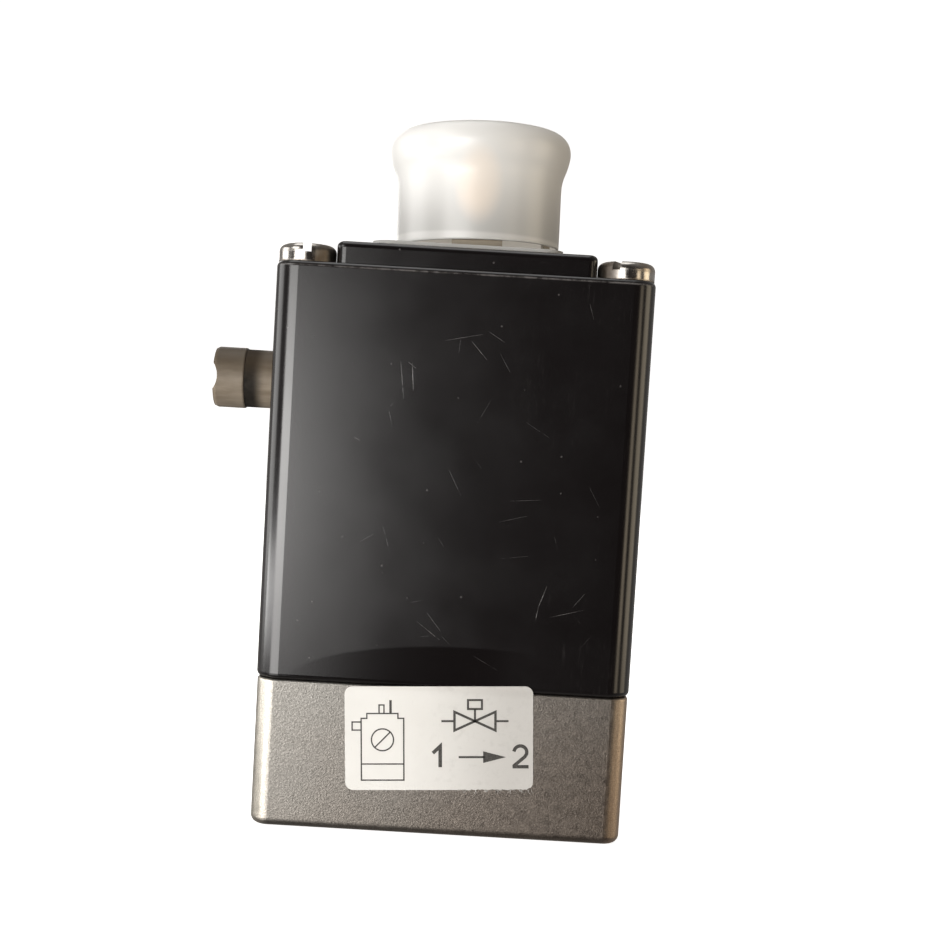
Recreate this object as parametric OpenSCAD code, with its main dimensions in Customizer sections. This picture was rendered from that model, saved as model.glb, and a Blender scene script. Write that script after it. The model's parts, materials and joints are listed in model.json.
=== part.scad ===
// Direct-acting 2/2-way solenoid valve with a pivoted armature.
// Stainless fluid body below, moulded coil housing above, tag contacts under a
// push-on dust cap on top, and a turning manual override on the left side.
// Origin: centre of the underside of the fluid body. +Z up, the ports lie along X,
// and the labelled front faces -Y.

/* [Fluid body] */
// Width of the fluid body along the ports
body_w = 45.7; // [45.4:0.1:46]
// Depth of the fluid body, front to back
body_d = 33.4; // [33:0.1:34]
// Height of the fluid body
body_h = 18.3; // [17.9:0.1:18.6]
// Radius of the upright edges of the fluid body
body_r = 2.2; // [1.5:0.1:2.6]
// Tap-drill radius of the G1/4 port threads
port_r = 5.9; // [5.7:0.05:6.0]
// Depth of each port from the face of its boss
port_l = 11; // [9:0.5:11]
// Radius of the raised boss round each port
boss_r = 8.2; // [7.6:0.1:8.3]
// Height of each boss above the side of the body
boss_h = 0.8; // [0.4:0.1:1.2]
// Bore of the inlet seat
seat_bore = 3.0; // [2:0.1:3]

/* [Underside fixing] */
// Distance between the two M4 fixing holes
fix_pitch = 24; // [23.6:0.1:24.6]
// Tap-drill radius of the fixing holes
fix_r = 1.65; // [1.6:0.05:1.75]
// Depth of the fixing holes
fix_l = 6; // [5:0.5:7]

/* [Coil housing] */
// Width of the coil housing
housing_w = 46; // [45.8:0.1:46.4]
// Depth of the coil housing
housing_d = 34; // [33.8:0.1:34.4]
// Height of the screw shoulders above the underside of the valve
shoulder_z = 69; // [68.8:0.1:69.2]
// Height of the raised top above the underside of the valve
plateau_z = 71.8; // [71.8:0.1:71.9]
// Width of the raised top
plateau_w = 31.7; // [31.2:0.1:31.8]
// Depth of the raised top
plateau_d = 30.8; // [30:0.1:31]
// Radius of the upright edges of the coil housing
housing_r = 2.9; // [2.4:0.1:3.2]
// Radius of the scoop round each corner screw
scoop_r = 4.1; // [4:0.1:4.4]

/* [Corner screws] */
// Half distance between the screws along X
screw_x = 19.45; // [19.2:0.05:19.5]
// Half distance between the screws along Y
screw_y = 12.9; // [12.8:0.1:13]
// Radius of the slotted heads
head_r = 3.5; // [3.3:0.1:3.5]
// Height of the slotted heads
head_h = 2.2; // [2:0.1:2.6]
// Width of the screwdriver slots
slot_w = 1; // [0.8:0.1:1.2]
// Depth of the screwdriver slots
slot_h = 1.1; // [0.8:0.1:1.2]

/* [Connector] */
// Sideways offset of the connector from the middle of the housing
conn_x = 1.05; // [0.95:0.05:1.2]
// Distance between the two line blades
blade_pitch = 18; // [17.8:0.1:18]
// Height to which the line blades stand
blade_z = 81.2; // [80:0.1:82]
// Height to which the longer earth blade stands
earth_z = 86.2; // [85:0.1:86.2]
// Thickness of the flat connector gasket
gasket_t = 0.5; // [0.4:0.1:0.7]

/* [Dust cap] */
// Height of the cap's open end above the underside of the valve
cap_z0 = 73.45; // [73.3:0.05:73.6]
// Height of the cap's top above the underside of the valve
cap_z1 = 88.15; // [88.15:0.05:88.4]
// Width of the connector gasket
gasket_w = 23.4; // [23:0.1:24]
// Depth of the connector gasket, front to back
gasket_d = 28; // [27:0.1:28.4]
// Wall thickness of the cap
cap_wall = 0.6; // [0.5:0.1:0.6]

/* [Manual override] */
// Height of the override axis above the underside of the valve
ovr_z = 55; // [55:0.1:55.2]
// Radius of the knob's head
knob_r = 3.95; // [3.9:0.05:4.4]
// Radius of the knob's shaft
shaft_r = 3.78; // [3.75:0.01:3.8]
// Length of the knob's head
knob_l = 4.1; // [3.6:0.1:4.4]
// Depth of the scoop across the knob's end
scoop_h = 0.6; // [0.4:0.1:0.9]

/* [Label] */
// Width of the label
label_w = 23; // [20:0.1:24]
// Height of the label
label_h = 12.85; // [10:0.05:13]
// Tilt of the label on the front face
label_tilt = 3.4; // [0:0.1:4]

/* [Hidden] */
$fn = 96;
e = 0.01;
piv_y = 4;             // armature pivot
piv_z = 21.5;
swing = 3.4;           // armature travel, in degrees
pole_y = -3.75;        // front face of both pole plates
port_z = 8.65;
deck_z = 17.3;          // floor of the recess that takes the bearing plate
front_y = -body_d / 2;
blade_w = 6.3;
blade_t = 0.8;
pocket_y = 0.6;        // floor of the spring pocket in the upper pole plate
spring_z = 60.2;
plate_screw_at = [[12.6, -10.8], [-12.6, -10.8], [12.6, 6.5], [-12.6, 6.5]];
post_at = [[11, 10.8], [-11, 10.8], [11.5, -1], [-11.5, -1]];
slot_turn = [4, -27, 72, 15];

// ---------- shared shapes ----------

// Rounded rectangle with true arcs.
module rrect(w, d, r) {
    square([w - 2 * r, d], center = true);
    square([w, d - 2 * r], center = true);
    for (x = [-1, 1], y = [-1, 1]) translate([x * (w / 2 - r), y * (d / 2 - r)]) circle(r);
}

module block(w, d, z0, z1, r) {
    translate([0, 0, z0]) linear_extrude(z1 - z0) rrect(w, d, r);
}

module box2(x0, x1, y0, y1, z0, z1) {
    translate([x0, y0, z0]) cube([x1 - x0, y1 - y0, z1 - z0]);
}

// Half section of an upright wall of half width hw, rounded ft at the top and fb at the bottom.
module wall_half(hw, z0, z1, ft, fb) {
    translate([0, z0 + fb]) square([hw, z1 - z0 - ft - fb]);
    translate([0, z0 + fb]) square([hw - ft, z1 - z0 - fb]);
    translate([0, z0]) square([hw - fb, z1 - z0 - ft]);
    if (ft > 0) translate([hw - ft, z1 - ft]) circle(ft);
    if (fb > 0) translate([hw - fb, z0 + fb]) circle(fb);
}

module wall_full(hw, z0, z1, ft, fb) {
    wall_half(hw, z0, z1, ft, fb);
    mirror([1, 0]) wall_half(hw, z0, z1, ft, fb);
}

// Upright box with rounded upright edges and rounded top and bottom rims.
module rbox(w, d, z0, z1, r, ft, fb) {
    lx = w / 2 - r;
    ly = d / 2 - r;
    translate([-lx, 0, 0]) rotate([90, 0, 90]) linear_extrude(2 * lx) wall_full(d / 2, z0, z1, ft, fb);
    translate([0, ly, 0]) rotate([90, 0, 0]) linear_extrude(2 * ly) wall_full(w / 2, z0, z1, ft, fb);
    for (i = [0 : 3])
        translate([(i == 0 || i == 3 ? 1 : -1) * lx, (i < 2 ? 1 : -1) * ly, 0])
            rotate([0, 0, 90 * i]) rotate_extrude(angle = 90) wall_half(r, z0, z1, ft, fb);
}

// Cylinder along X from x0 to x1.
module xcyl(r, x0, x1, y, z) {
    translate([x0, y, z]) rotate([0, 90, 0]) cylinder(r = r, h = x1 - x0);
}

// Cylinder along Y from y0 to y1.
module ycyl(r, y0, y1, x, z) {
    translate([x, y0, z]) rotate([-90, 0, 0]) cylinder(r = r, h = y1 - y0);
}

// The armature group is drawn as it stands when the valve is closed, and leans forward at rest.
module leaned() {
    translate([0, piv_y, piv_z]) rotate([swing, 0, 0]) translate([0, -piv_y, -piv_z]) children();
}

module at_corners() {
    for (i = [0 : 3])
        translate([(i % 2 == 0 ? -1 : 1) * screw_x, (i < 2 ? -1 : 1) * screw_y, 0]) rotate([0, 0, slot_turn[i]]) children();
}

// ---------- fluid body ----------

module valve_body() {
    bw = body_w / 2;
    color([0.62, 0.58, 0.54]) difference() {
        union() {
            rbox(body_w, body_d, 0, body_h, body_r, 0.3, 1);
            xcyl(boss_r, -bw - boss_h, bw + boss_h, 0, port_z);
        }
        // ports, with a countersunk mouth
        for (s = [0, 180]) rotate([0, 0, s]) {
            xcyl(port_r, bw + boss_h - port_l, bw + boss_h + 1, 0, port_z);
            translate([bw + boss_h - 0.8, 0, port_z]) rotate([0, 90, 0]) cylinder(r1 = port_r, r2 = port_r + 0.85, h = 0.85);
        }
        // inlet passage and the hole up to the seat
        xcyl(1.6, -bw - boss_h + port_l - 1, 1.8, -4, port_z);
        ycyl(seat_bore / 2, -4, -2, 0, port_z);
        ycyl(3.2, -2.2, -0.6, 0, port_z);
        // recess under the housing, which locates the bearing plate
        block(32, 28.4, deck_z, body_h + 1, 1.5);
        // seat chamber, outlet passage and the diaphragm recess
        box2(-5, 5, -1.2, 9, 4.2, body_h + 1);
        xcyl(2.2, 4, bw + boss_h - port_l + 1, 3.4, port_z);
        translate([0, piv_y, 16.3]) cylinder(r = 9.4, h = 2);
        // corner screw threads
        for (x = [-1, 1], y = [-1, 1]) translate([x * screw_x, y * screw_y, 7]) cylinder(r = 2, h = 12);
        // bearing plate screw threads
        for (p = plate_screw_at) translate([p[0], p[1], 12.2]) cylinder(r = 1.25, h = 6);
        // fixing holes underneath
        for (y = [-1, 1]) translate([0, y * fix_pitch / 2, -1]) cylinder(r = fix_r, h = fix_l + 1);
    }
}

module inlet_seat() {
    color([0.75, 0.73, 0.7]) translate([0, 0, port_z]) rotate([-90, 0, 0]) rotate_extrude()
        polygon([[seat_bore / 2, -2.2], [3.2, -2.2], [3.2, -1.2], [2.5, -1.2], [2.3, -0.4], [1.95, 0], [1.7, 0], [seat_bore / 2, -0.25]]);
}

module diaphragm() {
    color([0.16, 0.15, 0.14]) difference() {
        translate([0, piv_y, 0]) rotate_extrude() polygon([
            [1.5, 16.35], [5.2, 16.35], [6.0, 16.7], [6.7, 16.35], [9.3, 16.35], [9.3, 17.25],
            [6.9, 17.25], [6.0, 17.28], [5.0, 17.25], [1.5, 17.25]]);
        leaned() translate([0, piv_y, 14]) cylinder(r = 2.05, h = 6);
    }
}

module bearing_plate() {
    color([0.7, 0.68, 0.64]) difference() {
        union() {
            block(31, 27.6, deck_z, 19.3, 1.5);
            for (s = [-1, 1]) {
                translate([s * 8.5 - 1.5, 0, 0]) rotate([90, 0, 90]) linear_extrude(3) {
                    translate([piv_y - 3, 19]) square([6, piv_z - 19]);
                    translate([piv_y, piv_z]) circle(3);
                }
            }
        }
        translate([0, piv_y, 17]) cylinder(r = 4.6, h = 3);
        xcyl(1.5, -11, 11, piv_y, piv_z);
        for (p = plate_screw_at) translate([p[0], p[1], 17]) {
            cylinder(r = 1.35, h = 3);
            translate([0, 0, 1.25]) cylinder(r1 = 1.35, r2 = 2.5, h = 1.15);
        }
        // relief under the rocker's hub
        box2(-7, 7, 0.5, 7.5, 18.25, 20);
    }
}

module plate_screws() {
    color([0.7, 0.7, 0.7]) for (p = plate_screw_at) translate([p[0], p[1], 0]) difference() {
        union() {
            translate([0, 0, 12.6]) cylinder(r = 1.2, h = 6);
            translate([0, 0, 18.3]) cylinder(r1 = 1.2, r2 = 2.15, h = 0.9);
        }
        box2(-0.25, 0.25, -3, 3, 18.75, 20);
    }
}

module pivot_pin() {
    color([0.75, 0.75, 0.77]) xcyl(1.5, -10.2, 10.2, piv_y, piv_z);
}

// ---------- magnet frame and coil ----------

module frame_posts() {
    color([0.7, 0.68, 0.64]) for (p = post_at) translate([p[0], p[1], 19.3]) cylinder(r = 1.75, h = 7.1);
}

module lower_pole_plate() {
    color([0.55, 0.56, 0.58]) difference() {
        box2(-13.5, 13.5, pole_y, 13, 26.4, 30);
        box2(-7, 7, 1, 8, 26, 31);
    }
}

module upper_pole_plate() {
    color([0.55, 0.56, 0.58]) difference() {
        box2(-10, 10, pole_y, 11, 58, 63);
        box2(-7, 7, 1, 8, 57, 64);
        ycyl(1.9, pole_y - 1, pocket_y, 0, spring_z);
    }
}

module coil_core() {
    color([0.5, 0.51, 0.53]) box2(-7, 7, 1, 8, 26.4, 63);
}

module bobbin() {
    color([0.85, 0.82, 0.74]) difference() {
        union() {
            box2(-13.5, 13.5, -3.5, 12.5, 30, 31.5);
            box2(-13.5, 13.5, -3.5, 12.5, 56.5, 58);
            translate([0, 4.5, 0]) block(16, 9, 30, 58, 1);
        }
        box2(-7, 7, 1, 8, 29, 59);
    }
}

module winding() {
    color([0.72, 0.38, 0.2]) translate([0, 4.5, 0]) difference() {
        block(25.6, 15, 31.5, 56.5, 4);
        block(16, 9, 31, 57, 1);
    }
}

module winding_tape() {
    color([0.85, 0.7, 0.25]) translate([0, 4.5, 0]) difference() {
        block(26.2, 15.6, 33, 55, 4.3);
        block(25.6, 15, 32, 56, 4);
    }
}

// ---------- housing and connector ----------

module blade_slots(z0, z1, g) {
    for (s = [-1, 1])
        box2(conn_x - blade_w / 2 - g, conn_x + blade_w / 2 + g, s * blade_pitch / 2 - blade_t / 2 - g, s * blade_pitch / 2 + blade_t / 2 + g, z0, z1);
    box2(conn_x + 9 - blade_t / 2 - g, conn_x + 9 + blade_t / 2 + g, -blade_w / 2 - g, blade_w / 2 + g, z0, z1);
}

module coil_housing() {
    color([0.05, 0.045, 0.045]) difference() {
        union() {
            rbox(housing_w, housing_d, body_h, shoulder_z, housing_r, 0.7, 0.7);
            difference() {
                rbox(plateau_w, plateau_d, shoulder_z - 2, plateau_z, 1.2, 0.8, 0);
                for (x = [-1, 1], y = [-1, 1]) translate([x * screw_x, y * screw_y, shoulder_z]) cylinder(r = scoop_r, h = 5);
            }
        }
        // room for the armature and coil, open below
        block(32, 28.4, body_h - 1, 66.5, 1.5);
        box2(-20.5, -10, -8.5, 8.5, 47.5, 63);
        // corner screws
        for (x = [-1, 1], y = [-1, 1]) translate([x * screw_x, y * screw_y, body_h - 1]) cylinder(r = 2.15, h = shoulder_z - body_h + 2);
        // override bush
        xcyl(5, -housing_w / 2 - 1, -20, 0, ovr_z);
        // contacts and the centre insert
        blade_slots(66, plateau_z + 1, 0);
        translate([conn_x, 0, 67.8]) cylinder(r = 2.1, h = 5);
    }
}

module line_blade(y) {
    difference() {
        translate([conn_x, y - blade_t / 2, 0]) rotate([90, 0, 0]) mirror([0, 0, 1]) linear_extrude(blade_t)
            polygon([[-blade_w / 2, 64], [blade_w / 2, 64], [blade_w / 2, blade_z - 1.3], [blade_w / 2 - 1, blade_z], [-blade_w / 2 + 1, blade_z], [-blade_w / 2, blade_z - 1.3]]);
        ycyl(0.9, y - 2, y + 2, conn_x, blade_z - 3.4);
    }
}

module line_terminal_front() { color([0.78, 0.72, 0.6]) line_blade(-blade_pitch / 2); }
module line_terminal_rear() { color([0.78, 0.72, 0.6]) line_blade(blade_pitch / 2); }

module earth_terminal() {
    color([0.78, 0.72, 0.6]) difference() {
        translate([conn_x + 9 - blade_t / 2, 0, 0]) rotate([90, 0, 90]) linear_extrude(blade_t)
            polygon([[-blade_w / 2, 64], [blade_w / 2, 64], [blade_w / 2, earth_z - 1.3], [blade_w / 2 - 1, earth_z], [-blade_w / 2 + 1, earth_z], [-blade_w / 2, earth_z - 1.3]]);
        xcyl(0.9, 5, 15, 0, earth_z - 3.4);
    }
}

module terminal_carrier() {
    color([0.8, 0.78, 0.72]) difference() {
        translate([2.6, 0, 0]) block(21.6, 24, 65, 66.5, 1);
        blade_slots(64, 67, 0);
    }
}

// Insulated lead through a list of points, with round elbows.
module wire(p, r) {
    for (i = [0 : len(p) - 2]) {
        v = p[i + 1] - p[i];
        l = norm(v);
        translate(p[i]) rotate([0, acos(v[2] / l), atan2(v[1], v[0])]) cylinder(r = r, h = l);
    }
    if (len(p) > 2) for (i = [1 : len(p) - 2]) translate(p[i]) sphere(r);
}

module lead_front() {
    color([0.7, 0.12, 0.1]) wire([[conn_x + blade_w / 2, -9, 64.45], [12, -9, 64.45], [12, -2, 64.45], [12, -2, 58]], 0.45);
}

module lead_rear() {
    color([0.1, 0.15, 0.5]) wire([[conn_x - blade_w / 2, 9, 64.45], [-12, 9, 64.45], [-12, 9, 58]], 0.45);
}

module earth_strap() {
    color([0.6, 0.6, 0.58]) {
        box2(8, conn_x + 9.9, 0.5, 3, 63, 63.5);
        box2(conn_x + 9.4, conn_x + 9.9, 0.5, 3, 63, 64.9);
    }
}

module connector_insert() {
    color([0.8, 0.62, 0.3]) translate([conn_x, 0, 67.8]) difference() {
        cylinder(r = 2.1, h = plateau_z - 67.8);
        translate([0, 0, 0.6]) cylinder(r = 1.25, h = 5);
    }
}

module connector_gasket() {
    color([0.78, 0.78, 0.76]) difference() {
        block(gasket_w, gasket_d, plateau_z, plateau_z + gasket_t, 2.5);
        blade_slots(71, 74, 0.15);
        translate([conn_x, 0, 71]) cylinder(r = 2.4, h = 3);
    }
}

module corner_screws() {
    color([0.85, 0.83, 0.8]) at_corners() difference() {
        union() {
            translate([0, 0, shoulder_z]) rotate_extrude() {
                square([head_r, head_h - 0.9]);
                square([head_r - 0.9, head_h]);
                translate([head_r - 0.9, head_h - 0.9]) circle(0.9);
            }
            translate([0, 0, 7.4]) cylinder(r = 1.95, h = shoulder_z - 7);
        }
        box2(-slot_w / 2, slot_w / 2, -6, 6, shoulder_z + head_h - slot_h, shoulder_z + 5);
    }
}

// ---------- armature group ----------

module armature_plate() {
    color([0.55, 0.56, 0.58]) leaned() difference() {
        translate([0, -4, 0]) rotate([90, 0, 0]) linear_extrude(3) {
            translate([0, 44.1]) rrect(18, 37.8, 1.2);
            translate([-9, 25.2]) square([18, 10]);
        }
        for (x = [-4, 4]) ycyl(1.5, -8, -3, x, 30);
        ycyl(2.3, -4.8, -3, 0, spring_z);
    }
}

module rocker_arm() {
    color([0.72, 0.7, 0.66]) leaned() difference() {
        union() {
            xcyl(3, -6.8, 6.8, piv_y, piv_z);
            translate([0, piv_y, port_z]) cylinder(r = 2, h = piv_z - port_z);
            ycyl(3.9, 0.9, 5.6, 0, port_z);
            box2(-6, 6, -10, piv_y, 22.3, 24.4);
            box2(-6.5, 6.5, -10, -7, 22.3, 34);
        }
        xcyl(1.54, -8, 8, piv_y, piv_z);
        ycyl(3.2, 0, 1.6, 0, port_z);
        for (x = [-4, 4]) ycyl(1.5, -12, -5, x, 30);
    }
}

module rocker_rivets() {
    color([0.7, 0.7, 0.68]) leaned() for (x = [-4, 4]) {
        ycyl(1.5, -10, -4.1, x, 30);
        translate([x, -10, 30]) rotate([90, 0, 0]) rotate_extrude() {
            square([1.9, 0.9]);
            square([2.6, 0.35]);
            intersection() {
                translate([1.9, 0.2]) circle(0.7);
                square([4, 4]);
            }
        }
    }
}

module seat_seal() {
    color([0.12, 0.12, 0.12]) leaned() ycyl(3.2, 0.03, 1.6, 0, port_z);
}

module override_tab() {
    color([0.7, 0.7, 0.68]) leaned() {
        box2(-15.8, -5, -8.6, -7, 59.6, 63);
        box2(-15.8, -14.2, -8.6, 5.2, 60.4, 63);
        box2(-15.8, -14.2, 3.337, 5.2, 52, 63);
    }
}

module pole_shim() {
    color([0.8, 0.62, 0.3]) leaned() difference() {
        box2(-8.5, 8.5, -4, -3.8, 57.6, 62.6);
        ycyl(2.3, -5, -3, 0, spring_z);
    }
}

// ---------- spring and buffer ----------

function ring(c, r, n, u, w) = [for (i = [0 : n - 1]) c + r * (cos(i * 360 / n) * u + sin(i * 360 / n) * w)];

// Round-wire compression coil from y0 to y1 along Y, as one swept tube.
module coil_y(r, wire_r, turns, y0, y1, per_turn, sides) {
    steps = turns * per_turn;
    pts = [for (k = [0 : steps]) let (a = k * 360 / per_turn, y = y0 + (y1 - y0) * k / steps)
        each ring([r * cos(a), y, r * sin(a)], wire_r, sides, [cos(a), 0, sin(a)], [0, 1, 0])];
    faces = concat(
        [[for (i = [0 : sides - 1]) i]],
        [for (k = [0 : steps - 1], i = [0 : sides - 1]) let (a = k * sides + i, b = k * sides + (i + 1) % sides) each
            [[a, a + sides, b], [b, a + sides, b + sides]]],
        [[for (i = [sides - 1 : -1 : 0]) steps * sides + i]]);
    polyhedron(pts, faces);
}

module return_spring() {
    color([0.75, 0.75, 0.77]) translate([0, 0, spring_z]) coil_y(1.45, 0.22, 7, pocket_y - 0.25, -6.75, 14, 6);
}

module stop_buffer() {
    color([0.15, 0.14, 0.13]) ycyl(2.5, -14.2, -9.45, 0, 58);
}

// ---------- manual override ----------

module override_bush() {
    color([0.75, 0.72, 0.66]) difference() {
        union() {
            xcyl(5, -22.9, -20, 0, ovr_z);
            xcyl(6, -20.5, -19.8, 0, ovr_z);
        }
        xcyl(3.85, -24, -19, 0, ovr_z);
    }
}

module override_knob() {
    x0 = -32;
    color([0.52, 0.47, 0.41]) difference() {
        translate([x0, 0, ovr_z]) rotate([0, 90, 0]) rotate_extrude() difference() {
            union() {
                square([knob_r - 0.5, knob_l]);
                translate([0, 0.5]) square([knob_r, knob_l - 0.8]);
                translate([knob_r - 0.5, 0.5]) circle(0.5);
                translate([knob_r - 0.3, knob_l - 0.3]) circle(0.3);
                square([shaft_r, -18 - x0]);
            }
            translate([2.9, -22.3 - x0]) square([3, 1.5]);      // O-ring groove
            translate([3, -19.55 - x0]) square([3, 0.65]);      // clip groove
        }
        // scoop across the end
        translate([x0 - 2.6 + scoop_h, 0, ovr_z]) rotate([90, 0, 0]) cylinder(r = 2.6, h = 12, center = true);
        xcyl(1.6, -21, -17, 0, ovr_z);
    }
}

module override_cam_pin() {
    color([0.75, 0.75, 0.77]) {
        xcyl(1.6, -21, -18, 0, ovr_z);
        translate([0, 1.425 * sin(-45), 1.425 * cos(-45)]) xcyl(2.2, -18, -14.05, 0, ovr_z);
    }
}

module override_o_ring() {
    color([0.1, 0.1, 0.1]) translate([-21.55, 0, ovr_z]) rotate([0, 90, 0]) rotate_extrude() translate([3.375, 0]) circle(0.45);
}

module override_clip() {
    color([0.6, 0.6, 0.62]) difference() {
        xcyl(5.2, -19.5, -18.95, 0, ovr_z);
        xcyl(3.02, -20, -18, 0, ovr_z);
        box2(-20, -18, -2.2, 2.2, ovr_z - 8, ovr_z);
    }
}

// ---------- dust cap ----------

// Outer radius at height h above the cap's open end.
function cap_r(h) = lookup(h, [[0, 10.65], [8.4, 10.7], [9.3, 11.0], [10.2, 11.35], [11.2, 11.65], [12.2, 11.78], [13.2, 11.65], [13.9, 11.35], [14.35, 10.85]]);

module dust_cap() {
    top = cap_z1 - cap_z0;
    hs = [0.3, 2, 5, 8.4, 9.3, 10.2, 11.2, 12.2, 13.2, 13.9, 14.35];
    color([0.92, 0.92, 0.9, 0.6]) translate([conn_x, 0, cap_z0]) rotate_extrude() polygon(concat(
        [[10.05, 0], [10.5, 0]],
        [for (h = hs) [cap_r(h), h]],
        [[10.3, top - 0.08], [9.6, top], [6, top - 0.12], [0, top - 0.3]],
        [[0, top - 1.8], [10.1, top - 1.8]],
        [for (i = [len(hs) - 4 : -1 : 3]) [cap_r(hs[i]) - cap_wall - 0.05 * (i - 3), hs[i]]],
        [[10.05, 8.2]]));
}

// ---------- label ----------

module label() {
    color([0.93, 0.93, 0.9]) intersection() {
        translate([-0.07, front_y, 12.2]) rotate([0, -label_tilt, 0]) rotate([90, 0, 0]) linear_extrude(0.12) rrect(label_w, label_h, 1);
        box2(-20, 20, front_y - 1, front_y, 0, body_h - 0.35);
    }
}

valve_body();
inlet_seat();
diaphragm();
bearing_plate();
plate_screws();
pivot_pin();
frame_posts();
lower_pole_plate();
upper_pole_plate();
coil_core();
bobbin();
winding();
winding_tape();
coil_housing();
line_terminal_front();
line_terminal_rear();
earth_terminal();
terminal_carrier();
lead_front();
lead_rear();
earth_strap();
connector_insert();
connector_gasket();
corner_screws();
return_spring();
stop_buffer();
override_bush();
label();
armature_plate();
rocker_arm();
rocker_rivets();
seat_seal();
override_tab();
pole_shim();
override_knob();
override_cam_pin();
override_o_ring();
override_clip();
dust_cap();
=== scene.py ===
"""Looks of the solenoid valve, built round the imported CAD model."""

import json
import math
import random

import bmesh
import bpy
from mathutils import Matrix, Vector


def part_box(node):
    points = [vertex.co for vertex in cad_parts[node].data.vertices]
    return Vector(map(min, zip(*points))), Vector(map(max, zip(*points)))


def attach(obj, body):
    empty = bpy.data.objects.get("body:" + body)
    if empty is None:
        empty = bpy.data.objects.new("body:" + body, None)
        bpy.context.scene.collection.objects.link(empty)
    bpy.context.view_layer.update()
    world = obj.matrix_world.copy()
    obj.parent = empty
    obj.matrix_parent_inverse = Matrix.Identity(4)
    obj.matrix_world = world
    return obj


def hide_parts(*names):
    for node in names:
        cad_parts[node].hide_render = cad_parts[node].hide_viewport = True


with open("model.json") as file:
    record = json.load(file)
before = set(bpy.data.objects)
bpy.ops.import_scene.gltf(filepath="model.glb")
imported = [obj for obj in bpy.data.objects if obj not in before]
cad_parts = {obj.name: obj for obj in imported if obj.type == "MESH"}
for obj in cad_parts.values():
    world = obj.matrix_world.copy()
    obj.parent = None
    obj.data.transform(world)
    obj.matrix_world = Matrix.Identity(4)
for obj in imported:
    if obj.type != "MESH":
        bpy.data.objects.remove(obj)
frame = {"nodes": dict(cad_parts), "record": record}
NODES = frame["nodes"]
SLOTS = {m["slot"]: m for m in frame["record"]["materials"]}
MM = 0.001
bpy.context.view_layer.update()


# ---------------------------------------------------------------- node helpers

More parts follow.
